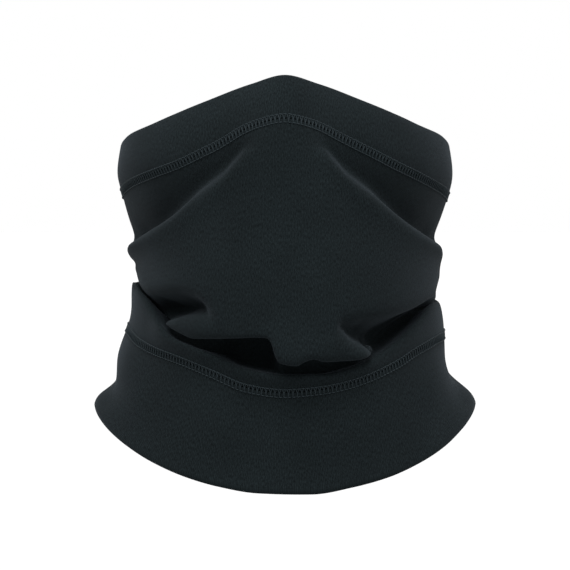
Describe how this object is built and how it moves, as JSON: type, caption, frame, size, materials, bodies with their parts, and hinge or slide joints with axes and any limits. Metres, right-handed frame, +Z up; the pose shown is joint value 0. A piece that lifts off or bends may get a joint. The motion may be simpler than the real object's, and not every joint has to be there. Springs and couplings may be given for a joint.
{
  "type": "neck gaiter",
  "caption": "Knit neck gaiter worn over the nose: a slouched tube with a doubled face band, a doubled neck band that flares over the shoulders, and flatlock seams.",
  "frame": {"origin": "on the axis of the wearer's neck, at the height of the throat between the two seams' lowest points", "axes": "+Z up along the neck, the wearer faces -Y, +X is the wearer's left"},
  "size_m": [0.205, 0.2148, 0.2138],
  "materials": {
    "band_jersey": "near-black brushed-back stretch jersey, fine vertical wales, soft matt sheen",
    "panel_jersey": "near-black brushed-back stretch jersey, single ply, smooth knit face out and brushed inside",
    "sewing_thread": "textured polyester sewing thread, tone on tone, slightly glossier than the cloth",
    "label_satin": "plain off-white woven satin, blank"
  },
  "bodies": {
    "neck": {"body_panel": "panel_jersey", "neck_band": "band_jersey", "lower_seam_cover_thread": "sewing_thread", "lower_seam_needle_thread_1": "sewing_thread", "lower_seam_needle_thread_2": "sewing_thread", "lower_seam_looper_thread": "sewing_thread", "back_seam_cover_thread": "sewing_thread", "back_seam_needle_thread_1": "sewing_thread", "back_seam_needle_thread_2": "sewing_thread", "back_seam_looper_thread": "sewing_thread", "neck_band_closing_thread": "sewing_thread", "care_label": "label_satin"},
    "face": {"face_band": "band_jersey", "upper_seam_cover_thread": "sewing_thread", "upper_seam_needle_thread_1": "sewing_thread", "upper_seam_needle_thread_2": "sewing_thread", "upper_seam_looper_thread": "sewing_thread", "face_band_closing_thread": "sewing_thread"}
  },
  "joints": [
    {"name": "face_pull_down", "type": "hinge", "parent": "neck", "child": "face", "pos_m": [0, 0.09, 0.086], "axis": [1, 0, 0], "range_deg": [0, 30], "deforming": ["body_panel"]}
  ]
}
